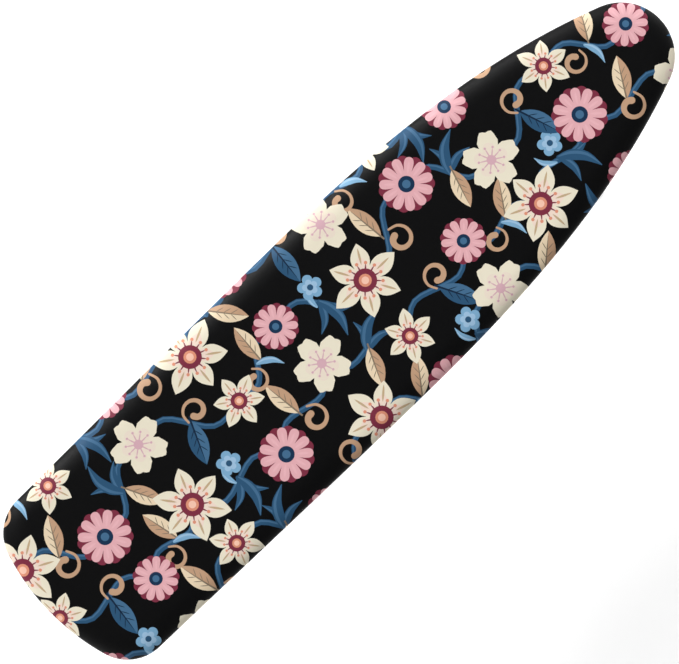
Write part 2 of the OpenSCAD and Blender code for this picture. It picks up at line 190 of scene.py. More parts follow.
def arc(cx, cy, r, start, end, count):
    """Points on a circle, from one angle to the other in degrees, without the last one."""
    angles = [math.radians(start + (end - start) * i / count) for i in range(count)]
    return [(cx + r * math.cos(a), cy + r * math.sin(a)) for a in angles]


def bezier(p, count, last=False):
    """Points on a cubic curve through its four control points."""
    result = []
    for i in range(count + (1 if last else 0)):
        t = i / count
        weights = ((1 - t) ** 3, 3 * (1 - t) ** 2 * t, 3 * (1 - t) * t * t, t ** 3)
        result.append(tuple(sum(w * q[axis] for w, q in zip(weights, p)) for axis in (0, 1)))
    return result


def board_outline():
    """The board's outline, from the middle of the square end over +Y to the nose and back."""
    end_r, corner_r, nose_r, nose_a = 386, 75, 87, 70
    end_c = end_r - HALF_L
    corner_cy = HALF_W - 81
    corner_cx = end_c - math.sqrt((end_r - corner_r) ** 2 - corner_cy ** 2)
    corner_a = math.degrees(math.atan2(corner_cy, corner_cx - end_c))
    nose_c = HALF_L - nose_r
    sine, cosine = math.sin(math.radians(nose_a)), math.cos(math.radians(nose_a))
    join = (nose_c + nose_r * cosine, nose_r * sine)
    side_start = (corner_cx, corner_cy + corner_r)
    half = arc(end_c, 0, end_r, 180, corner_a, 40)
    half += arc(corner_cx, corner_cy, corner_r, corner_a, 90, 24)
    half += bezier([side_start, (side_start[0] + 200, side_start[1] + 2), (-200, HALF_W), (0, HALF_W)], 60)
    half += bezier([(0, HALF_W), (269, HALF_W), (join[0] - 184 * sine, join[1] + 184 * cosine), join], 70)
    half += arc(nose_c, 0, nose_r, nose_a, 0, 30) + [(HALF_L, 0)]
    return np.array(half + [(x, -y) for x, y in half[-2:0:-1]])


def resample(points, step):
    """A closed line with points at equal spacing."""
    closed = np.vstack([points, points[:1]])
    lengths = np.concatenate([[0], np.cumsum(np.linalg.norm(np.diff(closed, axis=0), axis=1))])
    count = int(round(lengths[-1] / step))
    at = np.arange(count) * lengths[-1] / count
    return np.stack([np.interp(at, lengths, closed[:, axis]) for axis in (0, 1)], axis=1)


RIM_STEP = 5
rim_line = resample(board_outline(), RIM_STEP)
rim_along = np.roll(rim_line, -1, axis=0) - np.roll(rim_line, 1, axis=0)
rim_inward = np.stack([rim_along[:, 1], -rim_along[:, 0]], axis=1)
rim_inward /= np.linalg.norm(rim_inward, axis=1)[:, None]


def inset_line(u):
    """The board's outline moved inwards."""
    return rim_line + u * rim_inward


EDGE_W, EDGE_H = 38, 14          # soft rounding along the edge of the top
RIM_R = 8                        # tube below the edge
RIM_U = 9.3                      # inset of the tube's middle line
RIM_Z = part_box("rim_tube")[1][2] / MM - RIM_R
WRAP_R = RIM_R + 1.3             # outer face of the cover round the tube
HEM_U = 26                       # inset of the rolled hem's middle line
HEM_R = 3.1
HEM_Z = RIM_Z - WRAP_R + HEM_R
EDGE_STEPS, WRAP_STEPS, HEM_STEPS = 24, 12, 16


def cover_section():
    """Outer face of the cover, from the flat top over the edge and the tube to the end of its rolled hem.

    Each point is (outward distance from the flat top, height).
    """
    line = []
    for i in range(EDGE_STEPS + 1):
        a = math.radians(90 * (1 - i / EDGE_STEPS))
        line.append((EDGE_W * math.cos(a), TOP_Z - EDGE_H + EDGE_H * math.sin(a)))
    for i in range(WRAP_STEPS + 1):
        a = math.radians(180 + 90 * i / WRAP_STEPS)
        line.append((EDGE_W - RIM_U - WRAP_R * math.cos(a), RIM_Z + WRAP_R * math.sin(a)))
    for i in range(HEM_STEPS + 1):
        a = math.radians(270 + 270 * i / HEM_STEPS)
        line.append((EDGE_W - HEM_U - HEM_R * math.cos(a), HEM_Z + HEM_R * math.sin(a)))
    return np.array(line)


section = cover_section()
section_s = np.concatenate([[0], np.cumsum(np.linalg.norm(np.diff(section, axis=0), axis=1))])
WRAP_S = section_s[-1]           # cloth from the flat top's border to the end of the hem


# ---- the print ------------------------------------------------------------------------------
# Shapes of ink on the flat cloth, drawn from the bottom up. Each is (ink, outline).

shapes = []


def ink(name, outline):
    """Lays a shape of ink on all that came before it."""
    shapes.append((name, [(float(x), float(y)) for x, y in outline]))


def spline(points, steps=5, closed=False):
    """A smooth line through the given points."""
    p = [np.array(q, float) for q in points]
    n = len(p)
    result = []
    for i in range(n if closed else n - 1):
        if closed:
            a, b, c, d = p[i - 1], p[i], p[(i + 1) % n], p[(i + 2) % n]
        else:
            a, b, c, d = p[max(i - 1, 0)], p[i], p[i + 1], p[min(i + 2, n - 1)]
        for k in range(steps):
            t = k / steps
            result.append(0.5 * (2 * b + (c - a) * t + (2 * a - 5 * b + 4 * c - d) * t * t
                                 + (3 * b - a - 3 * c + d) * t ** 3))
    if not closed:
        result.append(p[-1])
    return result


def ribbon(name, points, widths):
    """A brush stroke along points, with a half-width at each; wide ends are rounded."""
    line = spline([(x, y, w) for (x, y), w in zip(points, widths)])
    left, right = [], []
    for i, q in enumerate(line):
        ahead = line[min(i + 1, len(line) - 1)][:2] - line[max(i - 1, 0)][:2]
        across = np.array([-ahead[1], ahead[0]]) / max(np.linalg.norm(ahead), 1e-6)
        left.append(q[:2] + across * max(q[2], 0.2))
        right.append(q[:2] - across * max(q[2], 0.2))
    cap_end = round_end(left[-1], right[-1])
    cap_start = round_end(right[0], left[0])
    ink(name, left + cap_end + right[::-1] + cap_start)


def round_end(a, b):
    """Points of a half circle from a to b, for ends wide enough to show it."""
    middle, radius = (a + b) / 2, np.linalg.norm(a - b) / 2
    if radius < 1.5:
        return []
    start = math.atan2(a[1] - middle[1], a[0] - middle[0])
    angles = [start - k * math.pi / 5 for k in range(1, 5)]
    return [middle + radius * np.array([math.cos(a), math.sin(a)]) for a in angles]


def polar(x, y, r, degrees):
    """The point at a distance and an angle from x, y."""
    a = math.radians(degrees)
    return np.array([x + r * math.cos(a), y + r * math.sin(a)])


def disc(name, x, y, radius, count=16):
    """A round patch."""
    angles = [2 * math.pi * i / count for i in range(count)]
    ink(name, [(x + radius * math.cos(a), y + radius * math.sin(a)) for a in angles])


def spindle(name, a, b, width):
    """A slim stroke, pointed at both ends."""
    a, b = np.array(a, float), np.array(b, float)
    across = np.array([-(b - a)[1], (b - a)[0]]) / np.linalg.norm(b - a) * width
    ink(name, bezier([a, a + (b - a) * 0.25 + across, b - (b - a) * 0.25 + across, b], 5)
        + bezier([b, b - (b - a) * 0.25 - across, a + (b - a) * 0.25 - across, a], 5))


def placed(points, x, y, turn=0, size=1.0, flip=False):
    """Points of a motif drawn about its own origin, moved to where it stands in the print."""
    c, s = size * math.cos(math.radians(turn)), size * math.sin(math.radians(turn))
    side = -1 if flip else 1
    return [(x + c * u - s * side * v, y + s * u + c * side * v) for u, v in points]


def pointed(x, y, radius, petals, turn):
    """Outline of a flower of full, pointed petals."""
    half = 180 / petals
    outline = []
    for k in range(petals):
        angle = turn + 2 * half * k
        reach = radius * (1 + 0.05 * math.cos(2 * k + turn))
        rise = [(0.40 * radius, -half), (0.72 * reach, -0.95 * half),
                (0.84 * reach, -0.4 * half), (reach, 0)]
        curve = [polar(x, y, r, angle + lean) for r, lean in rise]
        fall = [polar(x, y, r, angle - lean) for r, lean in reversed(rise)]
        outline += bezier(curve, 7) + bezier(fall, 7)
    return outline


def lobed(x, y, radius, lobes, depth, turn=0, notch=0.0):
    """Outline of a flower with round lobes; notch cuts into the middle of each lobe's end."""
    count = 12 * lobes
    points = []
    for k in range(count):
        angle = 2 * math.pi * k / count
        swell = abs(math.cos(lobes * angle / 2)) ** 0.7
        r = radius * (1 - depth * (1 - swell) - notch * math.cos(3 * lobes * angle) * swell)
        points.append(polar(x, y, r, math.degrees(angle) + turn))
    return points


def ray_petals(name, x, y, radius, width, count, turn):
    """Ring of narrow petals with round ends, as a daisy has."""
    half = [(0.20, 0.35), (0.50, 0.80), (0.78, 1.0), (0.94, 0.75), (1.0, 0.0)]
    petal = [(share * radius, w * width) for share, w in half]
    petal += [(u, -v) for u, v in reversed(petal[:-1])]
    for k in range(count):
        ink(name, spline(placed(petal, x, y, turn + 360 * k / count), 3, closed=True))


def stamens(x, y, radius, count, turn, line, dot):
    """Fine threads from a flower's middle, each with a round head."""
    for k in range(count):
        head = polar(x, y, radius, turn + 360 * k / count)
        spindle(line, (x, y), head, 0.07 * radius)
        disc(dot, head[0], head[1], 0.10 * radius, count=8)


def star_bloom(x, y, radius, turn):
    """Cream flower of six pointed petals with a maroon disc and a fringe of stamens."""
    petals = 6
    ink("ivory", pointed(x, y, radius, petals, turn))
    ink("petal", pointed(x, y, 0.66 * radius, petals, turn))
    for k in range(petals):
        angle = turn + 360 / petals * k
        foot, head = polar(x, y, 0.40 * radius, angle), polar(x, y, 0.86 * radius, angle)
        spindle("vein", foot, head, 0.04 * radius)
    stamens(x, y, 0.46 * radius, 12, turn + 15, "maroon", "orange")
    disc("maroon", x, y, 0.31 * radius, count=24)
    disc("orange", x, y, 0.17 * radius)
    disc("glow", x, y, 0.10 * radius)


def cream_bloom(x, y, radius, turn):
    """Blossom of five broad ivory petals with notched ends, and rose stamens."""
    ink("ivory", lobed(x, y, radius, 5, 0.44, turn, 0.05))
    ink("blush", lobed(x, y, 0.60 * radius, 5, 0.40, turn))
    stamens(x, y, 0.44 * radius, 10, turn + 18, "rose", "rose")
    disc("rose", x, y, 0.17 * radius)


def pink_bloom(x, y, radius, turn):
    """Double daisy: maroon petals behind pink ones, and a plain navy disc."""
    petals = 11
    ray_petals("maroon", x, y, radius, 0.20 * radius, petals, turn + 180 / petals)
    ray_petals("pink", x, y, 0.95 * radius, 0.17 * radius, petals, turn)
    for k in range(petals):
        angle = turn + 360 * k / petals
        foot, head = polar(x, y, 0.36 * radius, angle), polar(x, y, 0.80 * radius, angle)
        spindle("shell", foot, head, 0.06 * radius)
    disc("navy", x, y, 0.29 * radius, count=24)
    disc("slate", x, y, 0.15 * radius)


def pale_bloom(x, y, radius, turn):
    """Small pale blue flower with a darker heart."""
    ink("sky", lobed(x, y, radius, 5, 0.34, turn))
    ink("mist", lobed(x, y, 0.62 * radius, 5, 0.34, turn))
    disc("blue", x, y, 0.24 * radius)


# Motifs along +X from their own origin: control points of half a leaf, and a blade's line and half-widths.
LEAF_HALF = [(0, 0), (20, 19), (46, 19), (68, 0)]
BLADE = [(0, 0), (17, 7), (38, 9), (62, 1)]
BLADE_WIDTHS = [3, 7.5, 6.5, 0.6]


def leaf(x, y, turn, size=1.0, flip=False, inks=("almond", "scroll", "olive")):
    """Smooth pointed leaf with its foot at x, y: a light half, a darker half, a midrib and side veins."""
    half = bezier(LEAF_HALF, 10, last=True)
    for name, side in zip(inks, (1, -1)):
        ink(name, placed([(u, side * v) for u, v in half], x, y, turn, size, flip))
    rib = placed([(-6, 0), (30, 0), (60, 0)], x, y, turn, size, flip)
    ribbon(inks[2], rib, [1.4 * size, 1.1 * size, 0.3])
    for u in (14, 26, 38):
        for v in (9, -9):
            foot, head = placed([(u, 0), (u + 12, v)], x, y, turn, size, flip)
            spindle(inks[2], foot, head, 0.9 * size)


def stem(points, widths, shade="blue", light="slate"):
    """A stem or long leaf with a lighter streak along one side."""
    ribbon(shade, points, widths)
    streak_place, streak_width = 0.42, 0.28
    inner = []
    for i, (x, y) in enumerate(points):
        ahead, back = points[min(i + 1, len(points) - 1)], points[max(i - 1, 0)]
        dx, dy = ahead[0] - back[0], ahead[1] - back[1]
        length = math.hypot(dx, dy)
        aside = widths[i] * streak_place / length
        inner.append((x - dy * aside, y + dx * aside))
    ribbon(light, inner, [w * streak_width for w in widths])


def tendril(x, y, turn, size):
    """Tan tendril that winds up towards a blunt end."""
    reach, wound = 26, 350           # first radius, and degrees that it turns through
    shares = [k / 9 for k in range(10)]
    spiral = [polar(reach, 0, reach - 15 * share, 180 - wound * share) for share in shares]
    ribbon("scroll", placed(spiral, x, y, turn, size), [(2.0 + 4.4 * share) * size for share in shares])


def blade(x, y, turn, size, flip=False, shade="blue", light="slate"):
    """Long curved leaf with its foot at x, y."""
    stem(placed(BLADE, x, y, turn, size, flip), [w * size for w in BLADE_WIDTHS], shade, light)


def tuft(x, y, turn):
    """Sheaf of long leaves."""
    blade(x, y, turn + 38, 0.85, flip=True)
    blade(x, y, turn - 40, 0.85)
    blade(x, y, turn - 4, 1.15)


# The print is a lattice of flowers on wavy vines, one vine to a row. A motif's small shifts and turns come
# from waves of its column i and row j, so that no two places look quite the same.
COLUMN, ROW = 146, 112           # spacing of the flowers along and across the board
COLUMNS, ROWS = range(-6, 6), range(-3, 3)
VINE_WIDTHS = [3.6, 4.6, 4.4, 3.4]
SWAY = 0.12                      # a vine's bend, as a share of its length
FLOWERS = [(star_bloom, 62), (pink_bloom, 46), (cream_bloom, 47), (star_bloom, 44), (pink_bloom, 38)]


def flower_place(i, j):
    """The middle of a flower; every second column stands half a row higher."""
    x = (i + 0.35) * COLUMN + 12 * math.sin(2.3 * i + 1.1 * j)
    y = (j + 0.25 + 0.5 * (i % 2)) * ROW + 9 * math.sin(1.7 * i + 2.9 * j)
    return np.array([x, y])


def draw_vines():
    """Blue vines from flower to flower, and what grows from them halfway."""
    for i in COLUMNS:
        for j in ROWS:
            start, end = flower_place(i, j), flower_place(i + 1, j)
            way = end - start
            bend = np.array([-way[1], way[0]]) * (SWAY if (i + j) % 2 else -SWAY)
            line = [start, start + way * 0.3 + bend, start + way * 0.7 - bend, end]
            stem([tuple(point) for point in line], VINE_WIDTHS)
            along = math.degrees(math.atan2(way[1], way[0]))
            grow_between((start + end) / 2, along, (i + 3 * j) % 5, i + j)


def grow_between(place, along, choice, number):
    """Leaves, tendrils and small flowers on both sides of a vine."""
    x, y = place
    up, down = along + 74 + 9 * math.sin(number), along - 84 + 9 * math.cos(number)
    if choice == 0:
        leaf(x - 10, y, up, 1.05)
        tendril(x + 6, y, down - 30, 0.9)
    elif choice == 1:
        tuft(x, y - 4, up - 4)
        leaf(x + 6, y, down, 1.0, flip=True)
    elif choice == 2:
        tendril(x, y, up - 34, 0.85)
        leaf(x + 4, y, down, 1.1, inks=("slate", "blue", "night"))
    elif choice == 3:
        leaf(x + 8, y, up, 1.0, flip=True)
        blade(x, y, down + 24, 0.7, shade="sky", light="mist")
        tendril(x - 12, y, down - 44, 0.8)
    else:
        tuft(x, y + 4, down + 6)
        blade(x - 8, y, up + 20, 0.6, shade="sky", light="mist")
        pale_bloom(x + 6, y + 30, 21, 90 * math.sin(number))


def draw_flowers():
    """A flower at every place, its kind and size by turns and each turned differently."""
    for i in COLUMNS:
        for j in ROWS:
            x, y = flower_place(i, j)
            draw, radius = FLOWERS[(i + 2 * j) % len(FLOWERS)]
            draw(x, y, radius, 137.5 * i + 60 * j)


draw_vines()
draw_flowers()


# ---- cover ----------------------------------------------------------------------------------

flat_ring = inset_line(EDGE_W)       # border of the flat part of the top
ring_next = np.roll(flat_ring, -1, axis=0)
ring_step = ring_next - flat_ring
ring_length = np.linalg.norm(ring_step, axis=1)
ring_start = np.concatenate([[0], np.cumsum(ring_length)[:-1]])
RING_TOTAL = ring_length.sum()


def inside_line(points, line):
    """Winding number of a closed line round each point, zero outside."""
    turns = np.zeros(len(points), int)
    for (x0, y0), (x1, y1) in zip(line, np.roll(line, -1, axis=0)):
        side = (x1 - x0) * (points[:, 1] - y0) - (points[:, 0] - x0) * (y1 - y0)
        turns += (y0 <= points[:, 1]) & (points[:, 1] < y1) & (side > 0)
        turns -= (y1 <= points[:, 1]) & (points[:, 1] < y0) & (side < 0)
    return turns


def from_ring(points):
    """Where points lie from the flat top's border, the ring.

    For each point: distance outside it (0 within), nearest point, outward direction, and place along it.
    """
    points = np.asarray(points, float)
    distance = np.full(len(points), np.inf)
    near = np.zeros((len(points), 2))
    place = np.zeros(len(points))
    for i in range(len(flat_ring)):
        t = np.clip((points - flat_ring[i]) @ ring_step[i] / ring_length[i] ** 2, 0, 1)
        at = flat_ring[i] + t[:, None] * ring_step[i]
        d = np.linalg.norm(points - at, axis=1)
        closer = d < distance
        distance[closer], near[closer] = d[closer], at[closer]
        place[closer] = ring_start[i] + t[closer] * ring_length[i]
    outward = (points - near) / np.maximum(distance, 1e-9)[:, None]
    distance[inside_line(points, flat_ring) != 0] = 0
    return distance, near, outward, place


def lay_flat(points):
    """Moves points drawn as seen from above to where they are on the flat cloth."""
    points = np.asarray(points, float)
    distance, near, outward, _ = from_ring(points)
    edge = slice(EDGE_STEPS + 1)
    along = np.interp(distance, section[edge, 0], section_s[edge]) + np.maximum(distance - EDGE_W, 0)
    moved = near + outward * along[:, None]
    return np.where((distance > 0)[:, None], moved, points)


GATHER_FROM, GATHER_OVER = 60, 14    # where along the cloth its gathers begin, and how soon they are full
GATHER_HEIGHT, GATHER_MOST = 0.75, 0.9


def wrap(points):
    """Lays the flat cloth over the pad and round the tube."""
    distance, near, outward, place = from_ring(points)
    out = np.interp(distance, section_s, section[:, 0])
    height = np.interp(distance, section_s, section[:, 1])
    step = 0.5
    ahead, drop = (np.interp(distance + step, section_s, section[:, axis])
                   - np.interp(distance - step, section_s, section[:, axis]) for axis in (0, 1))
    length = np.maximum(np.hypot(ahead, drop), 1e-6)
    turns = 2 * math.pi * place / RING_TOTAL
    wave = np.sin(245 * turns + 2.5 * np.sin(17 * turns) + 1.7 * np.sin(41 * turns + 1))
    wave = wave * (0.75 + 0.35 * np.sin(29 * turns)) + 0.45 * np.sin(389 * turns + 2 * np.sin(23 * turns))
    grow = np.clip((distance - GATHER_FROM) / GATHER_OVER, 0, 1)
    lift = np.minimum(wave * GATHER_HEIGHT * grow * grow * (3 - 2 * grow), GATHER_MOST)
    out = out - drop / length * lift
    height = height + ahead / length * lift
    flat = near + outward * out[:, None]
    flat = np.where((distance > 0)[:, None], flat, points)
    return np.column_stack([flat, height])


def for_all(outlines, act):
    """Applies a function of points to many outlines at once."""
    ends = np.cumsum([len(outline) for outline in outlines])
    return np.split(act(np.vstack(outlines)), ends[:-1])


def subdivide(outlines, longest):
    """Closed lines whose steps over the edge of the top are no longer than asked."""
    border = inset_line(EDGE_W + 6)
    result = []
    for points, beyond in zip(outlines, for_all(outlines, lambda q: inside_line(q, border) == 0)):
        finer = []
        for i, p in enumerate(points):
            j = (i + 1) % len(points)
            steps = 1
            if beyond[i] or beyond[j]:
                steps = max(1, int(math.ceil(np.linalg.norm(points[j] - p) / longest)))
            finer += [p + (points[j] - p) * k / steps for k in range(steps)]
        result.append(np.array(finer))
    return result


def ring_at(s, step):
    """Closed line on the flat cloth, at a distance outside the flat top."""
    normals = -rim_inward
    return resample(flat_ring + s * normals, step)


def new_piece(name, vertices, faces, materials, face_inks=None, smooth=True):
    """A mesh object from points in millimetres."""
    mesh = bpy.data.meshes.new(name)
    mesh.from_pydata([tuple(v) for v in np.asarray(vertices) * MM], [], faces)
    for material in materials:
        mesh.materials.append(material)
    if face_inks is not None:
        mesh.polygons.foreach_set("material_index", face_inks)
    mesh.polygons.foreach_set("use_smooth", [smooth] * len(mesh.polygons))
    mesh.update()
    piece = bpy.data.objects.new(name, mesh)
    bpy.context.collection.objects.link(piece)
    return piece


# Rings of points that let the flat cloth bend: distances outside the flat top, wide over the edge of the top
# and close round the tube and hem. A grid of points keeps its middle even.
EDGE_RINGS = (0, 8, 16, 23, 29, 33.5, 37, 40, 42.6, 45, 47.5, 50.5, 53.5, 57)
HEM_RINGS = np.linspace(60, WRAP_S - 2, 14)
EDGE_SPACING, HEM_SPACING, INK_SPACING, GRID_SPACING = 5, 2.6, 2.5, 20


def cloth_triangles():
    """Flat cloth cut along every printed outline: points, triangles, ink of each triangle, and border."""
    points, edges = [], []

    def add_loop(loop, joined=True):
        """Adds points, joined or not by edges that the triangles must follow."""
        first = len(points)
        points.extend(Vector((float(x), float(y))) for x, y in loop)
        if joined:
            edges.extend((first + i, first + (i + 1) % len(loop)) for i in range(len(loop)))

    border = ring_at(WRAP_S, HEM_SPACING)
    within = for_all([line for _, line in shapes], lambda q: inside_line(q, border) != 0)
    inked = [(name, np.array(line)) for (name, line), inside in zip(shapes, within) if inside.any()]
    outlines = for_all(subdivide([line for _, line in inked], INK_SPACING), lay_flat)
    add_loop(border)
    for s in EDGE_RINGS:
        add_loop(ring_at(s, EDGE_SPACING), joined=False)
    for s in HEM_RINGS:
        add_loop(ring_at(s, HEM_SPACING), joined=False)
    grid = [(GRID_SPACING * i, GRID_SPACING * j) for i in range(-32, 33) for j in range(-6, 7)]
    flat_part = inside_line(np.array(grid, float), inset_line(EDGE_W + 8)) != 0
    add_loop([q for q, keep in zip(grid, flat_part) if keep], joined=False)
    for outline in outlines:
        add_loop(outline)
    flat, _, faces, _, _, _ = delaunay_2d_cdt(points, edges, [], 0, 0.02, False)
    flat = np.array([(v.x, v.y) for v in flat])
    faces = np.array(faces)
    middle = flat[faces].mean(axis=1)
    kept = inside_line(middle, border) != 0
    faces, middle = faces[kept], middle[kept]
    names = list(INKS)
    inks = np.zeros(len(faces), int)
    for (name, _), outline in zip(inked, outlines):
        low, high = outline.min(axis=0), outline.max(axis=0)
        near = np.nonzero(((middle >= low) & (middle <= high)).all(axis=1))[0]
        inks[near[inside_line(middle[near], outline) != 0]] = names.index(name)
    return flat, faces, inks, border


def make_cover():
    """The printed cover; returns it with the border of its flat cloth."""
    flat, faces, inks, border = cloth_triangles()
    materials = [cotton("cotton_" + name, colour) for name, colour in INKS.items()]
    cover = new_piece("cotton_cover", wrap(flat), faces.tolist(), materials, inks)
    solid = cover.modifiers.new("cloth", "SOLIDIFY")
    solid.thickness = 0.8 * MM
    solid.offset = -1
    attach(cover, "board")
    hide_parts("cover")
    return cover, border


# ---- swept pieces ---------------------------------------------------------------------------

def sweep(name, profile, material, step=8, closed=True):
    """Piece swept round the outline; a profile point is (inset, height). An open profile gets end faces."""
    count = int(round(RING_TOTAL / step))
    rings = []
    for u, z in profile:
        ring = inset_line(u)[np.linspace(0, len(rim_line), count, endpoint=False).astype(int)]
        rings.append(np.column_stack([ring, np.full(count, z)]))
    faces = []
    for r in range(len(rings) - (0 if closed else 1)):
        following = (r + 1) % len(rings)
        for i in range(count):
            j = (i + 1) % count
            faces.append((r * count + i, r * count + j, following * count + j, following * count + i))
    if not closed:
        faces.append(tuple(range(count - 1, -1, -1)))
        faces.append(tuple(range((len(rings) - 1) * count, len(rings) * count)))
    piece = new_piece(name, np.vstack(rings), faces, [material])
    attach(piece, "board")
    return piece


def make_elastic(material):
    """Braided cord inside the hem."""
    radius, sides = 1.8, 8
    profile = [(HEM_U + u, HEM_Z + z) for u, z in arc(0, 0, radius, 0, 360, sides)]
    cord = sweep("hem_elastic", profile, material, step=5)
    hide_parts("cover_elastic")
    return cord


def make_pad(material):
    """Felt pad between the mesh and the cover, with its edge rolled over towards the tube."""
    bottom = FRAME_TOP_Z + 0.05
    profile = [(5.2, bottom)]
    for a in range(24, 91, 6):
        angle = math.radians(a)
        profile.append((1.5 + (EDGE_W - 1) * (1 - math.cos(angle)),
                        TOP_Z - EDGE_H + (EDGE_H - 1) * math.sin(angle) - (0.3 if a < 90 else 0.1)))
    pad = sweep("felt_pad", profile, material, closed=False)
    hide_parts("foam_pad")
    return pad


# Rings of a stitch, along the seam: place, depth into the cloth and half-thickness.
STITCH = [(-1.5, 0.35, 0.1), (-1.0, -0.05, 0.28), (1.0, -0.05, 0.28), (1.5, 0.35, 0.1)]
STITCH_PITCH, STITCH_SIDES = 4.0, 5


def make_stitches(material):
    """Row of lockstitches that closes the hem, seen from below."""
    path = resample(inset_line(HEM_U - 6.5), STITCH_PITCH)
    ahead = np.roll(path, -1, axis=0) - path
    ahead /= np.linalg.norm(ahead, axis=1)[:, None]
    seam_z = RIM_Z - WRAP_R - 0.15
    n = STITCH_SIDES
    vertices, faces = [], []
    for (x, y), (dx, dy) in zip(path, ahead):
        first = len(vertices)
        for along, sink, half in STITCH:
            for side, up in arc(0, 0, half, 0, 360, n):
                vertices.append((x + dx * along - dy * side, y + dy * along + dx * side, seam_z + sink + up))
        for r in range(first, first + n * (len(STITCH) - 1), n):
            for k in range(n):
                j = (k + 1) % n
                faces.append((r + k, r + j, r + n + j, r + n + k))
        faces.append(tuple(first + k for k in range(n - 1, -1, -1)))
        faces.append(tuple(first + n * (len(STITCH) - 1) + k for k in range(n)))
    stitches = new_piece("hem_stitches", vertices, faces, [material])
    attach(stitches, "board")
    return stitches


# ---- expanded mesh --------------------------------------------------------------------------

CELL_L, CELL_W = 26, 11          # pitch of the diamonds along and across the board
STRAND = 1.7                     # width of the strands
SHEET_T = 0.3                    # thickness of the sheet


def mesh_centres():
    """Middles of the diamonds, every second row shifted by half a diamond."""
    columns, rows = int(2 * HALF_L / CELL_L) + 2, int(4 * HALF_W / CELL_W) + 2
    centres = []
    for row in range(-rows // 2, rows // 2 + 1):
        for column in range(-columns // 2, columns // 2 + 1):
            centres.append(((column + (row % 2) / 2) * CELL_L, row * CELL_W / 2))
    centres = np.array(centres)
    return centres[inside_line(centres, inset_line(9)) != 0]


def make_mesh(material):
    """Expanded steel: staggered diamonds whose strands dip a little, as the slitting press leaves them."""
    hole_l, hole_w = CELL_L / 2 - STRAND * 1.9, CELL_W / 2 - STRAND * 0.75
    outer = [(CELL_L / 2, 0, 0.15), (0, CELL_W / 2, 0.0), (-CELL_L / 2, 0, 0.15), (0, -CELL_W / 2, 0.0)]
    inner = [(hole_l, 0, 0.15), (0, hole_w, 0.175), (-hole_l, 0, 0.15), (0, -hole_w, 0.125)]
    vertices, faces = [], []
    for x, y in mesh_centres():
        o = len(vertices)
        i = o + 4
        for depth in (0.0, SHEET_T):
            for dx, dy, dip in outer + inner:
                vertices.append((x + dx, y + dy, FRAME_TOP_Z - depth - dip))
        for k in range(4):
            j = (k + 1) % 4
            faces.append((o + k, o + j, i + j, i + k))
            faces.append((o + 8 + j, o + 8 + k, i + 8 + k, i + 8 + j))
            faces.append((i + k, i + j, i + 8 + j, i + 8 + k))
    vertices = np.array(vertices)
    edge = inset_line(5)
    beyond = inside_line(vertices[:, :2], edge) == 0
    vertices[beyond, :2] = nearest_on(vertices[beyond, :2], edge)
    mesh = new_piece("expanded_mesh", vertices, faces, [material], smooth=False)
    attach(mesh, "board")
    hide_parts("mesh_top")
    return mesh


def nearest_on(points, line):
    """Nearest point of a closed line to each point."""
    best = np.full(len(points), np.inf)
    result = points.copy()
    for a, b in zip(line, np.roll(line, -1, axis=0)):
        step = b - a
        t = np.clip((points - a) @ step / (step @ step), 0, 1)
        at = a + t[:, None] * step
        d = np.linalg.norm(points - at, axis=1)
        closer = d < best
        best[closer], result[closer] = d[closer], at[closer]
    return result


# ---- other materials ------------------------------------------------------------------------

def coated_steel(name, colour, roughness=0.34):
    """Powder coat: fine orange peel with a slightly uneven shine."""
    material, nodes, links, shader = new_material(
        name, colour, roughness, Coat_Weight=0.25, Coat_Roughness=0.2)
    place = node(nodes, "ShaderNodeTexCoord").outputs["Object"]
    peel = node(nodes, "ShaderNodeTexNoise", links, {"Vector": place}, Scale=900, Detail=2).outputs["Fac"]
    wear = node(nodes, "ShaderNodeTexNoise", links, {"Vector": place}, Scale=9, Detail=4).outputs["Fac"]
    links.new(ramp_node(nodes, links, wear, [(0.3, roughness - 0.06), (0.7, roughness + 0.1)]),
              shader.inputs["Roughness"])
    set_bump(nodes, links, shader, peel, 0.02, 0.5)
    return material


def zinc(name, colour, roughness=0.3):
    """Bright zinc plate: faint rolling lines along the part and cloudy patches in its shine."""
    material, nodes, links, shader = new_material(name, colour, roughness, 1.0)
    place = node(nodes, "ShaderNodeTexCoord").outputs["Object"]
    stretched = node(nodes, "ShaderNodeMapping", links, {"Vector": place})
    stretched.inputs["Scale"].default_value = (12, 900, 900)
    along = {"Vector": stretched.outputs[0]}
    lines = node(nodes, "ShaderNodeTexNoise", links, along, Scale=1, Detail=3).outputs["Fac"]
    cloud = node(nodes, "ShaderNodeTexNoise", links, {"Vector": place}, Scale=25, Detail=5).outputs["Fac"]
    mixed = math_node(nodes, links, "ADD", math_node(nodes, links, "MULTIPLY", lines, 0.4),
                      math_node(nodes, links, "MULTIPLY", cloud, 0.6))
    links.new(ramp_node(nodes, links, mixed, [(0.3, roughness - 0.08), (0.7, roughness + 0.16)]),
              shader.inputs["Roughness"])
    set_bump(nodes, links, shader, lines, 0.02, 0.4)
    return material


def plastic(name, colour):
    """Moulded plastic with a fine spark-eroded grain."""
    roughness = 0.45
    material, nodes, links, shader = new_material(name, colour, roughness)
    place = node(nodes, "ShaderNodeTexCoord").outputs["Object"]
    grain = node(nodes, "ShaderNodeTexVoronoi", links, {"Vector": place}, Scale=1400).outputs["Distance"]
    smear = node(nodes, "ShaderNodeTexNoise", links, {"Vector": place}, Scale=30, Detail=3).outputs["Fac"]
    links.new(ramp_node(nodes, links, smear, [(0.3, roughness - 0.05), (0.7, roughness + 0.08)]),
              shader.inputs["Roughness"])
    set_bump(nodes, links, shader, grain, 0.03, 0.5)
    return material


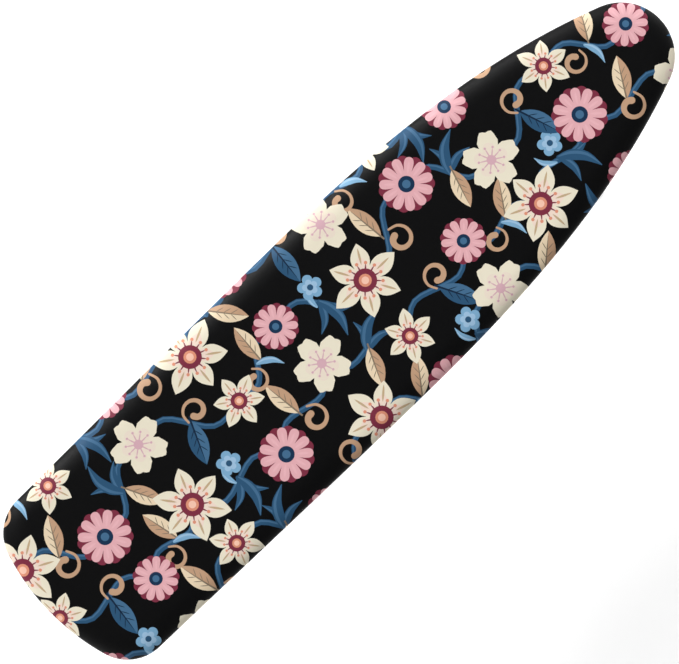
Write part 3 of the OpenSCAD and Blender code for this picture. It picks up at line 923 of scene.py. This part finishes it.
def felt(name, colour):
    """Needled polyester felt: matted fibres."""
    material, nodes, links, shader = new_material(
        name, colour, 0.95, Sheen_Weight=0.4, Specular_IOR_Level=0.1)
    place = node(nodes, "ShaderNodeTexCoord").outputs["Object"]
    fibres = node(nodes, "ShaderNodeTexNoise", links, {"Vector": place},
                  Scale=650, Detail=6, Distortion=1.8).outputs["Fac"]
    clumps = node(nodes, "ShaderNodeTexNoise", links, {"Vector": place}, Scale=90, Detail=3).outputs["Fac"]
    height = math_node(nodes, links, "ADD", math_node(nodes, links, "MULTIPLY", fibres, 0.5), clumps)
    set_bump(nodes, links, shader, height, 0.9, 0.8)
    links.new(ramp_node(nodes, links, fibres, [(0.3, 0.85), (0.7, 1.0)]), shader.inputs["Roughness"])
    return material


def braid(name, colour):
    """Crossing plaits of an elastic cord or a sewing thread."""
    material, nodes, links, shader = new_material(name, colour, 0.7, Sheen_Weight=0.2)
    place = node(nodes, "ShaderNodeTexCoord").outputs["Object"]
    waves = node(nodes, "ShaderNodeTexWave", links, {"Vector": place},
                 Scale=420, Distortion=1.5).outputs["Fac"]
    set_bump(nodes, links, shader, waves, 0.3, 0.6)
    links.new(ramp_node(nodes, links, waves, [(0.0, 0.6), (1.0, 0.8)]), shader.inputs["Roughness"])
    return material


FINISHES = {
    "frame_steel": ["rim_tube"] + [f"cross_brace_{i}" for i in range(1, 6)],
    "zinc_steel": ["track_left", "track_right", "pivot_bracket_left", "pivot_bracket_right", "latch_bar"],
    "fastener_steel": ["track_rivets", "bracket_rivets", "pivot_pin_left", "pivot_pin_right", "latch_pin",
                       "latch_spring", "scissor_pin", "scissor_cap_nuts", "slider_bar", "slider_clips"],
    "leg_paint": ["outer_tube_left", "outer_tube_right", "outer_head_left", "outer_head_right",
                  "outer_foot_bar", "inner_tube", "inner_head", "inner_foot_bar"],
    "black_plastic": ["latch_grip", "outer_foot_cap_left", "outer_foot_cap_right", "inner_foot_cap_left",
                      "inner_foot_cap_right"],
    "white_plastic": ["pivot_washers", "scissor_spacers", "scissor_bush"]}


def finish_cad_nodes():
    """Gives every CAD node that stays its material, smooth faces and sharp edges."""
    looks = {"frame_steel": coated_steel("frame_steel", "C9CBCE"),
             "zinc_steel": zinc("zinc_steel", "C2C6CA"),
             "fastener_steel": zinc("fastener_steel", "A9ADB2", 0.24),
             "leg_paint": coated_steel("leg_paint", "989CA2", 0.3),
             "black_plastic": plastic("black_plastic", "1B1B1E"),
             "white_plastic": plastic("white_plastic", "E4E4E0")}
    for finish, names in FINISHES.items():
        for name in names:
            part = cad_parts[name]
            part.data.materials.clear()
            part.data.materials.append(looks[finish])
            part.data.polygons.foreach_set("use_smooth", [True] * len(part.data.polygons))
            part.data.set_sharp_from_angle(angle=math.radians(35))


# ---- stage ----------------------------------------------------------------------------------

def make_floor():
    """Plain pale floor."""
    mesh = bpy.data.meshes.new("floor")
    reach = 60                       # metres to each side, so that its edge stays out of every view
    mesh.from_pydata([(-reach, -reach, 0), (reach, -reach, 0), (reach, reach, 0), (-reach, reach, 0)], [],
                     [(0, 1, 2, 3)])
    material, _, _, _ = new_material("floor", "FCFCFC", 0.9, Specular_IOR_Level=0.0,
                                     Emission_Color=(1, 1, 1, 1), Emission_Strength=0.3)
    mesh.materials.append(material)
    floor = bpy.data.objects.new("floor", mesh)
    bpy.context.collection.objects.link(floor)


def area_light(name, place, target, size, power):
    """A soft rectangular light; place and target are in metres."""
    data = bpy.data.lights.new(name, "AREA")
    data.shape = "RECTANGLE"
    data.size, data.size_y = size
    data.energy = power
    light = bpy.data.objects.new(name, data)
    light.location = place
    light.rotation_euler = (Vector(target) - Vector(place)).to_track_quat("-Z", "Y").to_euler()
    bpy.context.collection.objects.link(light)


def make_world():
    """Studio surroundings: bright at the horizon, dim overhead, so that flat black cloth stays black."""
    world = bpy.data.worlds.new("studio")
    world.use_nodes = True
    nodes, links = world.node_tree.nodes, world.node_tree.links
    direction = node(nodes, "ShaderNodeTexCoord").outputs["Generated"]
    height = node(nodes, "ShaderNodeSeparateXYZ", links, {0: direction}).outputs[2]
    shade = ramp_node(nodes, links, height, [(0.02, 1.0), (0.25, 0.45), (0.5, 0.15), (1.0, 0.04)])
    links.new(shade, nodes["Background"].inputs["Color"])
    bpy.context.scene.world = world


def make_key():
    """Large soft source beyond the board's +Y side, even over the whole floor."""
    data = bpy.data.lights.new("key", "SUN")
    data.energy = 3.8
    data.angle = math.radians(35)
    light = bpy.data.objects.new("key", data)
    light.rotation_euler = Vector((0, -2.6, -1.9)).to_track_quat("-Z", "Y").to_euler()
    bpy.context.collection.objects.link(light)


def make_lights():
    """The key, and two weak lights from the ends of the board."""
    make_key()
    area_light("fill", (-3.4, -1.6, 1.9), (0, 0, 0.5), (1.6, 1.6), 22)
    area_light("rim", (3.4, 0.8, 1.9), (0.3, 0, 0.9), (1.4, 1.4), 30)


cover, cloth_border = make_cover()
elastic = make_elastic(braid("elastic_braid", "D8D6D0"))
stitches = make_stitches(braid("thread", "3A3A40"))
make_pad(felt("felt", "DAD6CB"))
make_mesh(coated_steel("mesh_steel", "BFC2C6", 0.38))
finish_cad_nodes()
make_floor()
make_world()
make_lights()
bpy.context.scene.view_settings.view_transform = "Standard"
